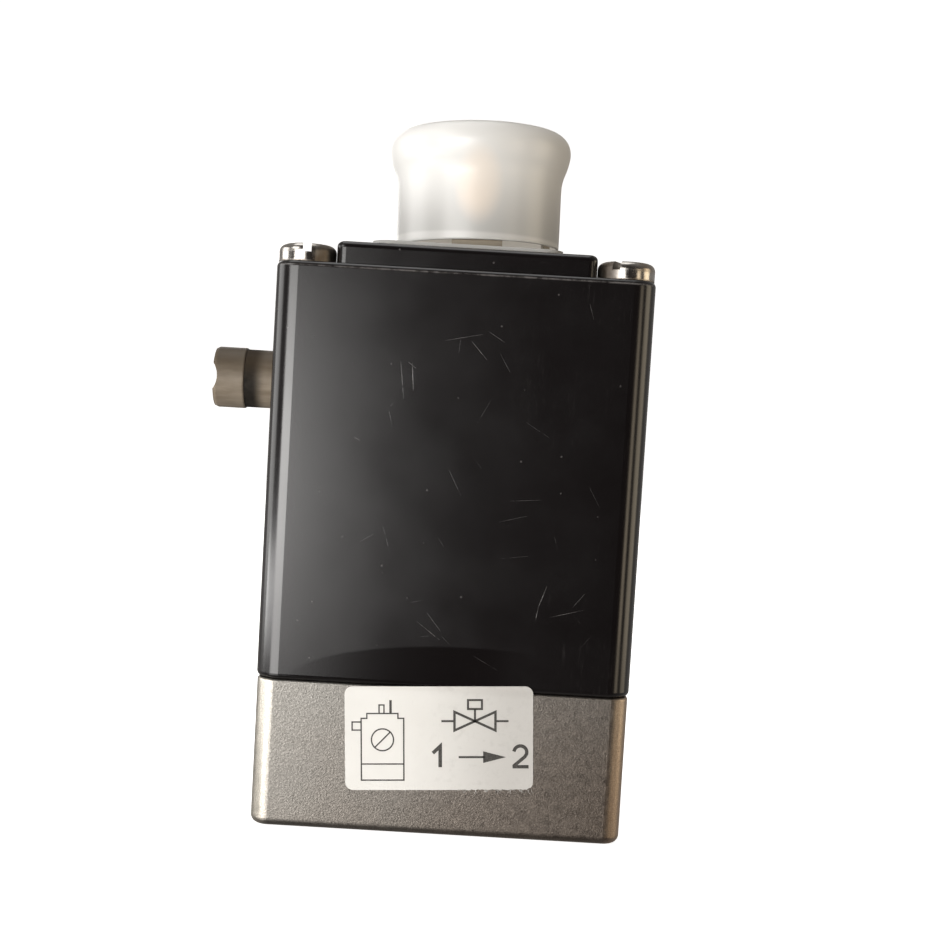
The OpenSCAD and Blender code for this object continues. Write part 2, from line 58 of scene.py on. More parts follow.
class Mat:
    """A small builder for node materials. Values may be numbers, colours or sockets."""

    def __init__(self, name):
        self.m = bpy.data.materials.new(name)
        self.m.use_nodes = True
        self.t = self.m.node_tree
        self.t.nodes.clear()
        self.out = self.t.nodes.new("ShaderNodeOutputMaterial")
        self.bsdf = self.t.nodes.new("ShaderNodeBsdfPrincipled")
        self.t.links.new(self.bsdf.outputs[0], self.out.inputs[0])
        coord = self.t.nodes.new("ShaderNodeTexCoord")
        self.pos = coord.outputs["Object"]
        self._sep = None

    def put(self, socket, value):
        if isinstance(value, bpy.types.NodeSocket):
            self.t.links.new(value, socket)
        elif isinstance(value, (tuple, list)) and len(value) == 3 and socket.type == "RGBA":
            socket.default_value = (*value, 1)
        else:
            socket.default_value = value

    def set(self, **kw):
        for k, v in kw.items():
            self.put(self.bsdf.inputs[k.replace("_", " ")], v)

    def node(self, kind, **props):
        n = self.t.nodes.new(kind)
        for k, v in props.items():
            setattr(n, k, v)
        return n

    def math(self, op, a, b=0.0, c=0.0, clamp=False):
        n = self.node("ShaderNodeMath", operation=op, use_clamp=clamp)
        self.put(n.inputs[0], a)
        self.put(n.inputs[1], b)
        self.put(n.inputs[2], c)
        return n.outputs[0]

    def xyz(self):
        if self._sep is None:
            s = self.node("ShaderNodeSeparateXYZ")
            self.put(s.inputs[0], self.pos)
            self._sep = (s.outputs[0], s.outputs[1], s.outputs[2])
        return self._sep

    def scaled(self, scale, rot=(0, 0, 0), loc=(0, 0, 0)):
        n = self.node("ShaderNodeMapping")
        self.put(n.inputs["Vector"], self.pos)
        n.inputs["Scale"].default_value = scale if isinstance(scale, (tuple, list)) else (scale,) * 3
        n.inputs["Rotation"].default_value = rot
        n.inputs["Location"].default_value = loc
        return n.outputs[0]

    def noise(self, scale, detail=3.0, rough=0.5, vec=None, dist=0.0):
        n = self.node("ShaderNodeTexNoise")
        self.put(n.inputs["Vector"], vec if vec is not None else self.pos)
        n.inputs["Scale"].default_value = scale
        n.inputs["Detail"].default_value = detail
        n.inputs["Roughness"].default_value = rough
        n.inputs["Distortion"].default_value = dist
        return n.outputs["Fac"]

    def voronoi(self, scale, vec=None, feature="F1", rand=1.0):
        n = self.node("ShaderNodeTexVoronoi", feature=feature)
        self.put(n.inputs["Vector"], vec if vec is not None else self.pos)
        n.inputs["Scale"].default_value = scale
        n.inputs["Randomness"].default_value = rand
        return n

    def ramp(self, fac, stops, mode="LINEAR"):
        n = self.node("ShaderNodeValToRGB")
        n.color_ramp.interpolation = mode
        el = n.color_ramp.elements
        while len(el) < len(stops):
            el.new(0.5)
        for e, (p, c) in zip(el, stops):
            e.position = p
            e.color = (*c, 1) if isinstance(c, (tuple, list)) else (c, c, c, 1)
        self.put(n.inputs[0], fac)
        return n.outputs[0]

    def remap(self, v, a, b, c, d, smooth=False):
        n = self.node("ShaderNodeMapRange", clamp=True, interpolation_type="SMOOTHSTEP" if smooth else "LINEAR")
        for i, x in enumerate((v, a, b, c, d)):
            self.put(n.inputs[i], x)
        return n.outputs[0]

    def mix(self, fac, a, b, blend="MIX"):
        n = self.node("ShaderNodeMix", data_type="RGBA", blend_type=blend)
        self.put(n.inputs[0], fac)
        self.put(n.inputs[6], a)
        self.put(n.inputs[7], b)
        return n.outputs[2]

    def mixf(self, fac, a, b):
        n = self.node("ShaderNodeMix", data_type="FLOAT")
        self.put(n.inputs[0], fac)
        self.put(n.inputs[2], a)
        self.put(n.inputs[3], b)
        return n.outputs[0]

    def bump(self, height, strength=0.3, dist=0.0001, normal=None):
        n = self.node("ShaderNodeBump")
        n.inputs["Strength"].default_value = strength
        n.inputs["Distance"].default_value = dist
        self.put(n.inputs["Height"], height)
        if normal is not None:
            self.put(n.inputs["Normal"], normal)
        return n.outputs[0]


def segment_group():
    """Node group: how much a point (u, v) lies on a stroke from A to B of a given half width, faded along its length."""
    g = bpy.data.node_groups.new("stroke", "ShaderNodeTree")
    for nm in ("U", "V", "Ax", "Ay", "Bx", "By", "W"):
        g.interface.new_socket(nm, in_out="INPUT", socket_type="NodeSocketFloat")
    g.interface.new_socket("Mask", in_out="OUTPUT", socket_type="NodeSocketFloat")
    i = g.nodes.new("NodeGroupInput")
    o = g.nodes.new("NodeGroupOutput")

    def m(op, a, b=0.0, clamp=False):
        n = g.nodes.new("ShaderNodeMath")
        n.operation = op
        n.use_clamp = clamp
        for s, v in zip(n.inputs, (a, b)):
            if isinstance(v, bpy.types.NodeSocket):
                g.links.new(v, s)
            else:
                s.default_value = v
        return n.outputs[0]

    U, V, Ax, Ay, Bx, By, W = (i.outputs[k] for k in range(7))
    pax, pay = m("SUBTRACT", U, Ax), m("SUBTRACT", V, Ay)
    bax, bay = m("SUBTRACT", Bx, Ax), m("SUBTRACT", By, Ay)
    dot = m("ADD", m("MULTIPLY", pax, bax), m("MULTIPLY", pay, bay))
    ln = m("ADD", m("MULTIPLY", bax, bax), m("MULTIPLY", bay, bay))
    h = m("DIVIDE", dot, ln, clamp=True)
    dx = m("SUBTRACT", pax, m("MULTIPLY", bax, h))
    dy = m("SUBTRACT", pay, m("MULTIPLY", bay, h))
    d = m("SQRT", m("ADD", m("MULTIPLY", dx, dx), m("MULTIPLY", dy, dy)))
    on = m("SUBTRACT", 1.0, m("DIVIDE", d, W), clamp=True)
    fade = m("MULTIPLY", m("MULTIPLY", h, m("SUBTRACT", 1.0, h)), 4.0)
    g.links.new(m("MULTIPLY", on, m("ADD", m("MULTIPLY", fade, 0.7), 0.3)), o.inputs[0])
    return g


STROKE = segment_group()


def strokes(M, u, v, rows):
    """Sum of strokes given as (ax, ay, bx, by, half width, weight), in mm on the (u, v) plane."""
    total = None
    for ax, ay, bx, by, w, k in rows:
        n = M.node("ShaderNodeGroup")
        n.node_tree = STROKE
        for s, val in zip(n.inputs, (u, v, ax, ay, bx, by, w)):
            M.put(s, val)
        one = M.math("MULTIPLY", n.outputs[0], k)
        total = one if total is None else M.math("MAXIMUM", total, one)
    return total


# ---------------------------------------------------------------- materials

def housing_material():
    M = Mat("housing_plastic")
    x, y, z = M.xyz()
    u, v = M.math("MULTIPLY", x, 1000.0), M.math("MULTIPLY", z, 1000.0)
    front = M.math("LESS_THAN", y, -0.0165)
    # cloudy black with a faint warm cast
    cloud = M.noise(55, 3, 0.55)
    base = M.ramp(cloud, [(0.3, (0.0026, 0.0018, 0.0019)), (0.7, (0.0044, 0.0034, 0.0036))])
    # fine hairline rubbing, mostly upright, in patches
    rubbing_and_glint = M.noise(1.0, 4, 0.7, M.scaled((5200, 5200, 420), rot=(0, math.radians(8), 0)))
    rub2 = M.noise(1.0, 3, 0.6, M.scaled((700, 4000, 5600), rot=(0, math.radians(-24), 0)))
    patch = M.remap(M.noise(95, 2, 0.5), 0.45, 0.68, 0, 1)
    hair = M.math("MULTIPLY", M.math("ADD", M.remap(rubbing_and_glint, 0.60, 0.74, 0, 1), M.remap(rub2, 0.64, 0.76, 0, 0.8)), patch, clamp=True)
    # dust specks
    vo = M.voronoi(620)
    cell = M.node("ShaderNodeSeparateColor")
    M.put(cell.inputs[0], vo.outputs["Color"])
    speck = M.math("MULTIPLY", M.remap(vo.outputs["Distance"], 0.03, 0.10, 1, 0), M.math("GREATER_THAN", cell.outputs[0], 0.80))
    # individual scratches on the front
    rnd = random.Random(7)
    rows = [
        (-5.9, 57.6, -5.6, 54.2, 0.09, 0.9), (-7.3, 57.7, -6.7, 53.2, 0.07, 0.6), (-6.4, 57.6, -5.4, 56.9, 0.08, 0.8),
        (-2.6, 60.3, 2.4, 61.4, 0.07, 0.8), (1.0, 60.6, 3.2, 58.2, 0.06, 0.7), (3.0, 61.8, 5.0, 60.6, 0.06, 0.7),
        (4.6, 59.2, 6.0, 56.9, 0.06, 0.5), (11.0, 28.9, 11.9, 31.6, 0.09, 1.0), (10.75, 27.2, 11.05, 29.1, 0.08, 0.8),
        (12.4, 27.8, 16.7, 29.0, 0.07, 0.8), (15.2, 29.2, 16.5, 30.9, 0.06, 0.7), (-3.6, 26.4, -0.7, 24.3, 0.07, 0.9),
        (-2.4, 27.5, -0.6, 25.3, 0.06, 0.6), (5.5, 39.0, 9.5, 40.1, 0.05, 0.5), (6.2, 41.6, 10.8, 42.0, 0.05, 0.45),
        (-1.0, 45.4, 0.9, 41.9, 0.05, 0.4), (8.2, 51.2, 11.1, 49.5, 0.05, 0.45), (-12.5, 48.3, -11.7, 47.9, 0.08, 0.5),
        (6.0, 34.6, 10.0, 35.2, 0.05, 0.4), (14.9, 65.8, 15.5, 63.9, 0.06, 0.5), (2.0, 50.2, 3.9, 53.8, 0.05, 0.35),
        (-8.4, 37.9, -7.2, 34.2, 0.05, 0.35), (16.2, 44.0, 17.7, 41.4, 0.05, 0.4), (3.5, 22.6, 6.5, 21.0, 0.05, 0.45),
    ]
    for _ in range(14):
        a, b, l, t = rnd.uniform(-15, 17), rnd.uniform(22, 66), rnd.uniform(0.7, 2.6), rnd.uniform(0, math.pi)
        rows.append((a, b, a + l * math.cos(t), b + l * math.sin(t), 0.045, rnd.uniform(0.2, 0.5)))
    rows = [(a, b, c, d, w * 0.8, k * 0.62) for a, b, c, d, w, k in rows]
    scr = M.math("MULTIPLY", strokes(M, u, v, rows), front)
    scr = M.math("MULTIPLY", scr, M.remap(M.noise(1500, 2, 0.6), 0.35, 0.6, 0.25, 1))
    # worn line along the top front edge and thin wear on the other rims; the lighter line is partly real wear and
    # partly a painted highlight of the top front rim
    edge = M.math("SUBTRACT", 1.0, M.math("MULTIPLY", M.math("ABSOLUTE", M.math("SUBTRACT", v, 68.45)), 6.5), clamp=True)
    edge = M.math("MULTIPLY", M.math("MULTIPLY", edge, M.remap(M.noise(520, 4, 0.7), 0.38, 0.62, 0.1, 1)), M.math("LESS_THAN", M.math("ABSOLUTE", x), 0.0225))
    marks = M.math("MAXIMUM", M.math("MAXIMUM", scr, M.math("MULTIPLY", speck, 0.35)), M.math("MAXIMUM", M.math("MULTIPLY", hair, 0.10), M.math("MULTIPLY", edge, 0.75)), clamp=True)
    col = M.mix(marks, base, (0.15, 0.14, 0.135))
    # satin gloss, cloudier where handled, slicker in a lens low on the front where it was wiped
    lx = M.math("DIVIDE", M.math("SUBTRACT", u, 3.0), 22.5)
    lz = M.math("DIVIDE", M.math("SUBTRACT", v, 18.0), 5.6)
    lens = M.math("ADD", M.math("MULTIPLY", lx, lx), M.math("MULTIPLY", lz, lz))
    lens = M.math("MULTIPLY", M.math("MULTIPLY", M.remap(lens, 0.92, 1.02, 1, 0, True), front), M.remap(u, 3.0, 12.0, 1, 0, True))
    rough = M.remap(M.noise(130, 4, 0.6), 0.3, 0.7, 0.165, 0.21)
    rough = M.math("ADD", rough, M.math("MULTIPLY", marks, 0.25))
    rough = M.mixf(lens, rough, 0.12)
    grain = M.noise(5200, 2, 0.5)
    n1 = M.bump(grain, 0.05, 0.00004)
    n2 = M.bump(M.math("SUBTRACT", 1.0, scr), 0.25, 0.00005, n1)
    M.set(Base_Color=col, Roughness=rough, Normal=n2, IOR=1.52)
    return M.m


def cast_steel_material():
    M = Mat("stainless_cast")
    x, y, z = M.xyz()
    grain = M.noise(6200, 4, 0.7)
    pit = M.voronoi(4300)
    tone = M.noise(60, 3, 0.55)
    # painted shade and warm reflection: the body turns darker and browner towards the lower right
    warm = M.math("ADD", M.math("MULTIPLY", x, 9.0), M.math("MULTIPLY", z, -14.0))
    warm = M.remap(M.math("ADD", warm, M.math("MULTIPLY", tone, 0.30)), -0.28, 0.40, 0, 1, True)
    body = M.mix(warm, (0.205, 0.198, 0.184), (0.185, 0.156, 0.132))
    fleck = M.ramp(grain, [(0.28, (0.66, 0.64, 0.62)), (0.50, (0.96, 0.95, 0.94)), (0.66, (1.30, 1.28, 1.26)), (0.76, (1.75, 1.72, 1.70))])
    col = M.mix(1.0, body, fleck, "MULTIPLY")
    dark = M.remap(pit.outputs["Distance"], 0.02, 0.22, 0.82, 1.0)
    col = M.mix(1.0, col, M.ramp(dark, [(0, 0.0), (1, 1.0)]), "MULTIPLY")
    # painted shade darkens the foot of the block a little
    foot = M.remap(z, 0.0, 0.0016, 0.72, 1.0, True)
    col = M.mix(1.0, col, M.ramp(foot, [(0, 0.0), (1, 1.0)]), "MULTIPLY")
    # painted highlight on the upright edges: white on the left, golden on the right
    side = M.remap(M.math("ABSOLUTE", x), 0.0203, 0.0220, 0, 1, True)
    rubbing_and_glint = M.mix(M.remap(x, -0.01, 0.01, 0, 1), (2.2, 2.18, 2.1), (2.0, 1.84, 1.66))
    col = M.mix(side, col, M.mix(1.0, col, rubbing_and_glint, "MULTIPLY"))
    rough = M.remap(M.noise(900, 4, 0.6), 0.3, 0.7, 0.30, 0.44)
    n1 = M.bump(grain, 0.45, 0.00004)
    n2 = M.bump(pit.outputs["Distance"], 0.30, 0.00003, n1)
    n3 = M.bump(M.noise(320, 2, 0.5), 0.14, 0.00010, n2)
    M.set(Base_Color=col, Metallic=1.0, Roughness=rough, Normal=n3)
    return M.m


def turned_steel(name, base, rough0=0.22, axis=0, scale=9000, metallic=1.0):
    M = Mat(name)
    s = [60.0, 60.0, 60.0]
    for k in range(3):
        if k != axis:
            s[k] = 60.0
    s[axis] = scale
    lines = M.noise(1.0, 3, 0.6, M.scaled(tuple(s)))
    stain = M.noise(240, 4, 0.6)
    col = M.mix(M.remap(lines, 0.3, 0.7, 0, 1), tuple(c * 0.82 for c in base), tuple(min(1.0, c * 1.10) for c in base))
    col = M.mix(M.remap(stain, 0.55, 0.75, 0, 0.45), col, tuple(c * 0.55 for c in base))
    rough = M.math("ADD", M.remap(lines, 0.3, 0.7, rough0 - 0.05, rough0 + 0.10), M.remap(stain, 0.5, 0.75, 0, 0.14))
    n = M.bump(lines, 0.12, 0.00003)
    M.set(Base_Color=col, Metallic=metallic, Roughness=rough, Normal=n)
    return M.m


def screw_material():
    M = Mat("screw_plated")
    x, y, z = M.xyz()
    v = M.math("MULTIPLY", z, 1000.0)
    fine = M.noise(1.0, 3, 0.65, M.scaled((3200, 3200, 900)))
    blot = M.noise(420, 4, 0.6)
    col = M.mix(M.remap(blot, 0.40, 0.72, 0, 1), (0.46, 0.44, 0.41), (0.27, 0.22, 0.17))
    # painted shade in the slots and at the seat of each head
    low = M.remap(v, 70.2, 70.6, 1, 0, True)
    slot = M.math("MULTIPLY", low, M.math("GREATER_THAN", v, 70.05))
    seat = M.remap(v, 69.0, 69.25, 1, 0, True)
    painted_shade = M.math("MULTIPLY", M.math("MAXIMUM", M.math("MULTIPLY", slot, 0.25), M.math("MULTIPLY", seat, 0.8)), M.remap(M.noise(1500, 3, 0.6), 0.3, 0.6, 0.4, 1))
    # painted brown reflection and shade on the sides that face the raised top
    inner = M.remap(M.math("ABSOLUTE", x), 0.0176, 0.0190, 0.82, 0, True)
    painted_shade = M.math("MAXIMUM", painted_shade, M.math("MULTIPLY", inner, M.remap(M.noise(700, 3, 0.6), 0.3, 0.7, 0.75, 1)))
    col = M.mix(painted_shade, col, (0.055, 0.038, 0.026))
    rough = M.math("ADD", M.remap(fine, 0.3, 0.7, 0.10, 0.24), M.math("MULTIPLY", painted_shade, 0.4))
    n = M.bump(fine, 0.08, 0.00003)
    n2 = M.bump(blot, 0.10, 0.00010, n)
    M.set(Base_Color=col, Metallic=1.0, Roughness=rough, Normal=n2)
    return M.m


def cap_material():
    M = Mat("cap_plastic")
    x, y, z = M.xyz()
    v = M.math("MULTIPLY", z, 1000.0)
    milk = M.noise(55, 0, 0.4)
    flow = M.noise(1.0, 0, 0.4, M.scaled((190, 190, 24)))
    col = M.mix(milk, (0.600, 0.590, 0.564), (0.665, 0.658, 0.636))
    col = M.mix(M.math("MULTIPLY", flow, 0.5), col, (0.672, 0.667, 0.650))
    # painted shade: greyer towards the foot, where the dark gap would show through, with a paler band at the rim
    foot = M.remap(v, 74.4, 83.5, 0.64, 1.0, True)
    rim = M.remap(v, 74.15, 74.6, 1, 0, True)
    foot = M.mixf(rim, foot, 0.82)
    col = M.mix(1.0, col, M.ramp(foot, [(0, 0.0), (1, (1.0, 1.0, 1.0))]), "MULTIPLY")
    # the earth blade's warm glow through the wall
    gx = M.math("DIVIDE", M.math("SUBTRACT", M.math("MULTIPLY", x, 1000.0), 0.9), 3.4)
    gz = M.math("DIVIDE", M.math("SUBTRACT", v, 80.2), 5.4)
    glow = M.math("ADD", M.math("MULTIPLY", gx, gx), M.math("MULTIPLY", gz, gz))
    glow = M.math("MULTIPLY", M.remap(glow, 0.0, 1.0, 0.55, 0.0, True), M.remap(M.noise(200, 0, 0.5), 0.0, 1.0, 0.55, 1.05))
    col = M.mix(glow, col, (0.86, 0.70, 0.55))
    rough = M.remap(M.noise(120, 0, 0.5), 0.0, 1.0, 0.26, 0.34)
    n = M.bump(flow, 0.03, 0.00004)
    M.set(Base_Color=col, Roughness=rough, Normal=n, IOR=1.5)
    # light that comes through the milky wall reaches the inside of the cap
    axis_x = M.math("ADD", 1.05, M.math("MULTIPLY", M.math("SUBTRACT", 79.85, v), 0.0297))
    dx = M.math("SUBTRACT", M.math("MULTIPLY", x, 1000.0), axis_x)
    dy = M.math("MULTIPLY", y, 1000.0)
    rad = M.math("SQRT", M.math("ADD", M.math("MULTIPLY", dx, dx), M.math("MULTIPLY", dy, dy)))
    inside = M.math("MULTIPLY", M.math("LESS_THAN", rad, 10.33), M.remap(v, 86.2, 86.8, 1, 0))
    M.put(M.bsdf.inputs["Emission Color"], M.mix(inside, (0.0, 0.0, 0.0), (0.60, 0.55, 0.48)))
    M.bsdf.inputs["Emission Strength"].default_value = 0.42
    return M.m


def knob_material():
    M = Mat("override_plastic")
    x, y, z = M.xyz()
    u = M.math("MULTIPLY", x, 1000.0)
    flow = M.noise(1.0, 4, 0.6, M.scaled((260, 1300, 1300)))
    tone = M.noise(300, 3, 0.5)
    col = M.mix(M.remap(flow, 0.3, 0.7, 0, 1), (0.156, 0.125, 0.091), (0.226, 0.187, 0.142))
    col = M.mix(M.remap(tone, 0.5, 0.75, 0, 0.35), col, (0.24, 0.205, 0.160))
    # painted shadow in the step behind the head, cast by the head on the neck
    d = M.remap(u, -26.9, -25.1, 1, 0, True)
    d = M.math("MULTIPLY", d, M.math("GREATER_THAN", u, -27.96))
    d = M.math("MULTIPLY", d, M.remap(M.noise(900, 3, 0.6), 0.25, 0.6, 0.92, 1))
    col = M.mix(M.math("MULTIPLY", d, 0.98), col, (0.004, 0.003, 0.002))
    # painted shade: darker towards the top of the knob
    col = M.mix(M.remap(z, 0.0540, 0.0576, 0.0, 0.72, True), col, (0.040, 0.027, 0.015))
    rough = M.math("ADD", M.remap(flow, 0.3, 0.7, 0.40, 0.56), M.math("MULTIPLY", d, 0.3))
    n = M.bump(M.noise(3400, 3, 0.6), 0.10, 0.00005)
    n2 = M.bump(flow, 0.08, 0.00006, n)
    M.set(Base_Color=col, Roughness=rough, Normal=n2, IOR=1.5)
    M.bsdf.inputs["Specular IOR Level"].default_value = 0.20
    return M.m


def rubber_material(name, base, rough0=0.62):
    M = Mat(name)
    dust = M.noise(700, 4, 0.65)
    bloom = M.noise(90, 3, 0.5)
    col = M.mix(M.remap(bloom, 0.3, 0.7, 0, 1), tuple(c * 0.85 for c in base), tuple(min(1, c * 1.12 + 0.004) for c in base))
    col = M.mix(M.remap(dust, 0.62, 0.8, 0, 0.3), col, tuple(min(1, c * 1.3 + 0.05) for c in base))
    n = M.bump(M.noise(4200, 2, 0.5), 0.12, 0.00004)
    M.set(Base_Color=col, Roughness=M.remap(dust, 0.3, 0.7, rough0 - 0.08, rough0 + 0.1), Normal=n, IOR=1.5)
    return M.m


def plastic_material(name, base, rough0=0.4, ior=1.5, trans=0.0):
    M = Mat(name)
    a, b = M.noise(200, 3, 0.5), M.noise(2800, 3, 0.6)
    col = M.mix(M.remap(a, 0.3, 0.7, 0, 1), tuple(c * 0.86 for c in base), tuple(min(1, c * 1.1) for c in base))
    M.set(Base_Color=col, Roughness=M.remap(b, 0.3, 0.7, rough0 - 0.05, rough0 + 0.08), Normal=M.bump(b, 0.08, 0.00004), IOR=ior)
    if trans:
        M.bsdf.inputs["Transmission Weight"].default_value = trans
    return M.m


def winding_material():
    M = Mat("copper_winding")
    n = M.node("ShaderNodeTexWave", wave_type="BANDS", bands_direction="Z")
    M.put(n.inputs["Vector"], M.pos)
    n.inputs["Scale"].default_value = 700
    n.inputs["Distortion"].default_value = 0.6
    col = M.mix(n.outputs["Fac"], (0.30, 0.10, 0.035), (0.72, 0.32, 0.13))
    M.set(Base_Color=col, Metallic=1.0, Roughness=M.remap(M.noise(900, 3, 0.6), 0.3, 0.7, 0.22, 0.36), Normal=M.bump(n.outputs["Fac"], 0.5, 0.0001))
    return M.m


def label_material():
    M = Mat("label_paper")
    x, y, z = M.xyz()
    fib = M.noise(1.0, 4, 0.65, M.scaled((2600, 2600, 700), rot=(0, 0.6, 0)))
    tone = M.noise(150, 3, 0.5)
    smut = M.noise(900, 4, 0.7)
    col = M.mix(M.remap(tone, 0.3, 0.7, 0, 1), (0.665, 0.652, 0.620), (0.705, 0.694, 0.664))
    col = M.mix(M.remap(fib, 0.62, 0.8, 0, 0.25), col, (0.43, 0.42, 0.39))
    # smudges towards the right-hand end, as on a handled label
    right = M.remap(x, -0.006, 0.010, 0, 1, True)
    col = M.mix(M.math("MULTIPLY", M.remap(smut, 0.52, 0.70, 0, 0.45), right), col, (0.36, 0.35, 0.33))
    # painted shade: the label turns evenly darker towards the right
    col = M.mix(M.math("MULTIPLY", right, 0.75), col, (0.405, 0.39, 0.37))
    M.set(Base_Color=col, Roughness=M.remap(smut, 0.3, 0.7, 0.30, 0.46), Normal=M.bump(fib, 0.06, 0.00003), IOR=1.48)
    return M.m


def ink_material():
    M = Mat("label_ink")
    a = M.noise(3800, 4, 0.7)
    col = M.mix(M.remap(a, 0.35, 0.75, 0, 1), (0.016, 0.014, 0.012), (0.075, 0.068, 0.060))
    M.set(Base_Color=col, Roughness=M.remap(a, 0.3, 0.7, 0.35, 0.55), Normal=M.bump(a, 0.05, 0.00002))
    return M.m


MATS = {
    "stainless_cast": cast_steel_material(),
    "stainless": turned_steel("stainless", (0.66, 0.645, 0.62), 0.26, axis=0, scale=7000),
    "housing_plastic": housing_material(),
    "screw_plated": screw_material(),
    "cap_plastic": cap_material(),
    "override_plastic": knob_material(),
    "contact_metal": turned_steel("contact_metal", (0.27, 0.235, 0.185), 0.34, axis=1, scale=4200),
    "brass": turned_steel("brass", (0.80, 0.58, 0.27), 0.24, axis=2, scale=6000),
    "magnet_iron": turned_steel("magnet_iron", (0.47, 0.48, 0.50), 0.34, axis=0, scale=5200),
    "spring_steel": turned_steel("spring_steel", (0.68, 0.67, 0.66), 0.2, axis=1, scale=2600),
    "gasket_rubber": rubber_material("gasket_rubber", (0.34, 0.335, 0.32), 0.55),
    "black_rubber": rubber_material("black_rubber", (0.022, 0.021, 0.020)),
    "bobbin_plastic": plastic_material("bobbin_plastic", (0.62, 0.57, 0.45), 0.42),
    "copper_winding": winding_material(),
    "coil_tape": plastic_material("coil_tape", (0.62, 0.38, 0.05), 0.22),
    "lead_red": rubber_material("lead_red", (0.30, 0.022, 0.016), 0.42),
    "lead_blue": rubber_material("lead_blue", (0.018, 0.035, 0.21), 0.42),
    "label_paper": label_material(),
}
INK = ink_material()

for row in frame["record"]["subparts"]:
    o = NODES[row["node"]]
    o.data.materials.clear()
    o.data.materials.append(MATS[row["material_slot"]])


# ---------------------------------------------------------------- mesh helpers

def new_object(name, verts, faces, material, body, smooth=True, sharp_deg=40):
    me = bpy.data.meshes.new(name)
    me.from_pydata([tuple(v) for v in verts], [], faces)
    me.validate()
    bm = bmesh.new()
    bm.from_mesh(me)
    bmesh.ops.remove_doubles(bm, verts=bm.verts, dist=1e-8)
    bmesh.ops.recalc_face_normals(bm, faces=bm.faces)
    bm.to_mesh(me)
    bm.free()
    me.materials.append(material)
    o = bpy.data.objects.new(name, me)
    bpy.context.scene.collection.objects.link(o)
    if smooth:
        me.shade_smooth()
        me.set_sharp_from_angle(angle=math.radians(sharp_deg))
    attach(o, body)
    return o


def lathe(name, profile, centre, material, body, seg=160, lean=0.0, lean_z=0.0):
    """Closed profile of (r, z) points turned round a Z axis through centre, then leaned towards -X about a line lean_z up."""
    verts, faces = [], []
    n = len(profile)
    for s in range(seg):
        a = 2 * math.pi * s / seg
        for r, z in profile:
            x, h = r * math.cos(a), z - lean_z
            x, h = x * math.cos(lean) - h * math.sin(lean), x * math.sin(lean) + h * math.cos(lean)
            verts.append(Vector((centre[0] + x, centre[1] + r * math.sin(a), centre[2] + lean_z + h)) * MM)
    for s in range(seg):
        t = (s + 1) % seg
        for i in range(n):
            j = (i + 1) % n
            faces.append((s * n + i, t * n + i, t * n + j, s * n + j))
    return new_object(name, verts, faces, material, body)


def smooth_path(pts, per=6):
    """Catmull-Rom through the points."""
    out = []
    for i in range(len(pts) - 1):
        p0, p1, p2, p3 = pts[max(i - 1, 0)], pts[i], pts[i + 1], pts[min(i + 2, len(pts) - 1)]
        for k in range(per):
            t = k / per
            out.append(tuple(0.5 * (2 * b + (c - a) * t + (2 * a - 5 * b + 4 * c - d) * t * t + (3 * b - a - 3 * c + d) * t ** 3)
                             for a, b, c, d in zip(p0, p1, p2, p3)))
    out.append(pts[-1])
    return out


for o in NODES.values():
    o.data.set_sharp_from_angle(angle=math.radians(30))


# ---------------------------------------------------------------- dust cap

lo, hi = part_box("dust_cap")
cap_c = ((lo.x + hi.x) / 2 / MM, (lo.y + hi.y) / 2 / MM, lo.z / MM)
top = (hi.z - lo.z) / MM
outer = smooth_path([(10.56, 0.24), (10.6, 2.0), (10.64, 5.0), (10.68, 7.6), (10.78, 8.6), (11.02, 9.5), (11.35, 10.35), (11.62, 11.3), (11.75, 12.15),
                     (11.68, 12.9), (11.42, 13.55), (10.95, 14.12), (10.3, 14.52), (9.55, top - 0.04), (8.3, top - 0.06), (6.0, top - 0.2), (2.4, top - 0.34), (1.25, top - 0.36)], 5)
outer += [(1.1, top - 0.3), (1.0, top - 0.12), (0.7, top - 0.08), (0.0005, top - 0.08)]
inner = smooth_path([(0.0005, top - 1.72), (6.0, top - 1.72), (9.2, top - 1.74), (10.2, top - 1.9), (10.75, top - 2.3), (10.95, 11.6), (10.75, 10.6), (10.45, 9.7),
                     (10.2, 8.7), (10.1, 7.6), (10.08, 5.0), (10.06, 2.0), (10.05, 0.5)], 5)
inner += [(10.1, 0.14), (10.2, 0.02), (10.36, 0.0), (10.5, 0.07)]
cap = lathe("cap_shell", outer + inner, cap_c, MATS["cap_plastic"], "dust_cap", 180, lean=math.radians(1.7), lean_z=6.4)
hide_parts("dust_cap")


# ---------------------------------------------------------------- threads

def helix(name, r_root, r_crest, pitch, x0, x1, centre, axis, sign, material, body, seg=72, land=0.12):
    """Inner thread ridge wound on a bore's wall, closed at both ends."""
    turns = (x1 - x0) / pitch - 1
    n = int(turns * seg)
    prof = [(r_root, -0.42 * pitch), (r_crest, -land * pitch), (r_crest, land * pitch), (r_root, 0.42 * pitch), (r_root + 0.03, 0)]
    verts, faces = [], []
    for k in range(n + 1):
        a = 2 * math.pi * k / seg
        s = x0 + pitch / 2 + pitch * k / seg
        grow = min(1.0, k / (seg * 0.35), (n - k) / (seg * 0.35))
        for r, dz in prof:
            rr = r_root + (r - r_root) * grow if r < r_root else r
            c, d = rr * math.cos(a), rr * math.sin(a)
            t = s + dz
            if axis == "x":
                verts.append(Vector((sign * t, centre[1] + c, centre[2] + sign * d)) * MM)
            else:
                verts.append(Vector((centre[0] + c, centre[1] + d, sign * t)) * MM)
    m = len(prof)
    for k in range(n):
        for i in range(m):
            j = (i + 1) % m
            faces.append((k * m + i, k * m + j, (k + 1) * m + j, (k + 1) * m + i))
    faces.append(tuple(range(m)))
    faces.append(tuple(n * m + i for i in reversed(range(m))))
    return new_object(name, verts, faces, material, body, sharp_deg=30)


